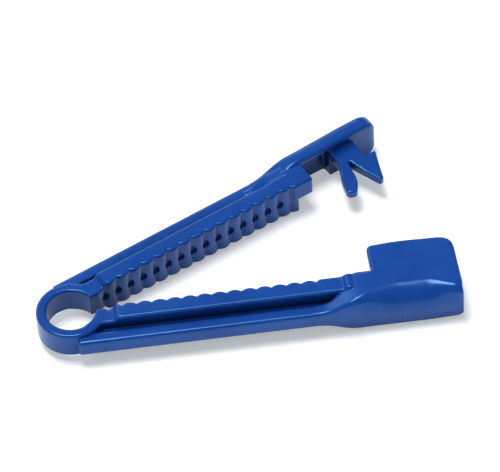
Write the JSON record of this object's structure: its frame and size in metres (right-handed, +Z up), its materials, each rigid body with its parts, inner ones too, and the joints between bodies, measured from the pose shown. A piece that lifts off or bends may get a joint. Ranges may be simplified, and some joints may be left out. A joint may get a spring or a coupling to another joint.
{
  "type": "locking clip",
  "caption": "One-piece plastic locking clip: toothed arms on a spring ring, with prongs that snap into a catch head.",
  "frame": {"origin": "the middle of the open clip's footprint, on the surface that it lies on", "axes": "+X along the catch arm from the ring to its tip, +Y from the catch arm towards the open latch arm, +Z up out of the flat clip, along the ring's axis"},
  "size_m": [0.0624, 0.0374, 0.0068],
  "materials": {
    "blue_plastic": "gloss"
  },
  "bodies": {
    "catch_arm": {"catch_ring_half": "blue_plastic", "catch_spine": "blue_plastic", "catch_jaw": "blue_plastic", "catch_jaw_end": "blue_plastic", "catch_pad": "blue_plastic", "head_top_plate": "blue_plastic", "head_bottom_plate": "blue_plastic", "head_ring_wall": "blue_plastic", "head_end_wall": "blue_plastic", "head_catch_lip": "blue_plastic", "ring_back": "blue_plastic"},
    "latch_arm": {"latch_ring_half": "blue_plastic", "latch_spine": "blue_plastic", "latch_jaw": "blue_plastic", "latch_nose": "blue_plastic", "latch_pad": "blue_plastic", "nose_step": "blue_plastic", "prong_stem": "blue_plastic"},
    "ring_side_prong": {"ring_side_prong": "blue_plastic"},
    "tip_side_prong": {"tip_side_prong": "blue_plastic"}
  },
  "joints": [
    {"name": "ring_hinge", "type": "hinge", "parent": "catch_arm", "child": "latch_arm", "pos_m": [-0.02598, -0.01249, 0.0034], "axis": [0, 0, 1], "range_deg": [-25, 0], "stiffness_Nm_per_rad": 0.06, "deforming": ["ring_back"]},
    {"name": "ring_side_prong_flex", "type": "hinge", "parent": "latch_arm", "child": "ring_side_prong", "pos_m": [0.01818, 0.01045, 0.0034], "axis": [0, 0, 1], "range_deg": [0, 8], "stiffness_Nm_per_rad": 0.3},
    {"name": "tip_side_prong_flex", "type": "hinge", "parent": "latch_arm", "child": "tip_side_prong", "pos_m": [0.01829, 0.01051, 0.0034], "axis": [0, 0, 1], "range_deg": [-8, 0], "stiffness_Nm_per_rad": 0.3}
  ]
}
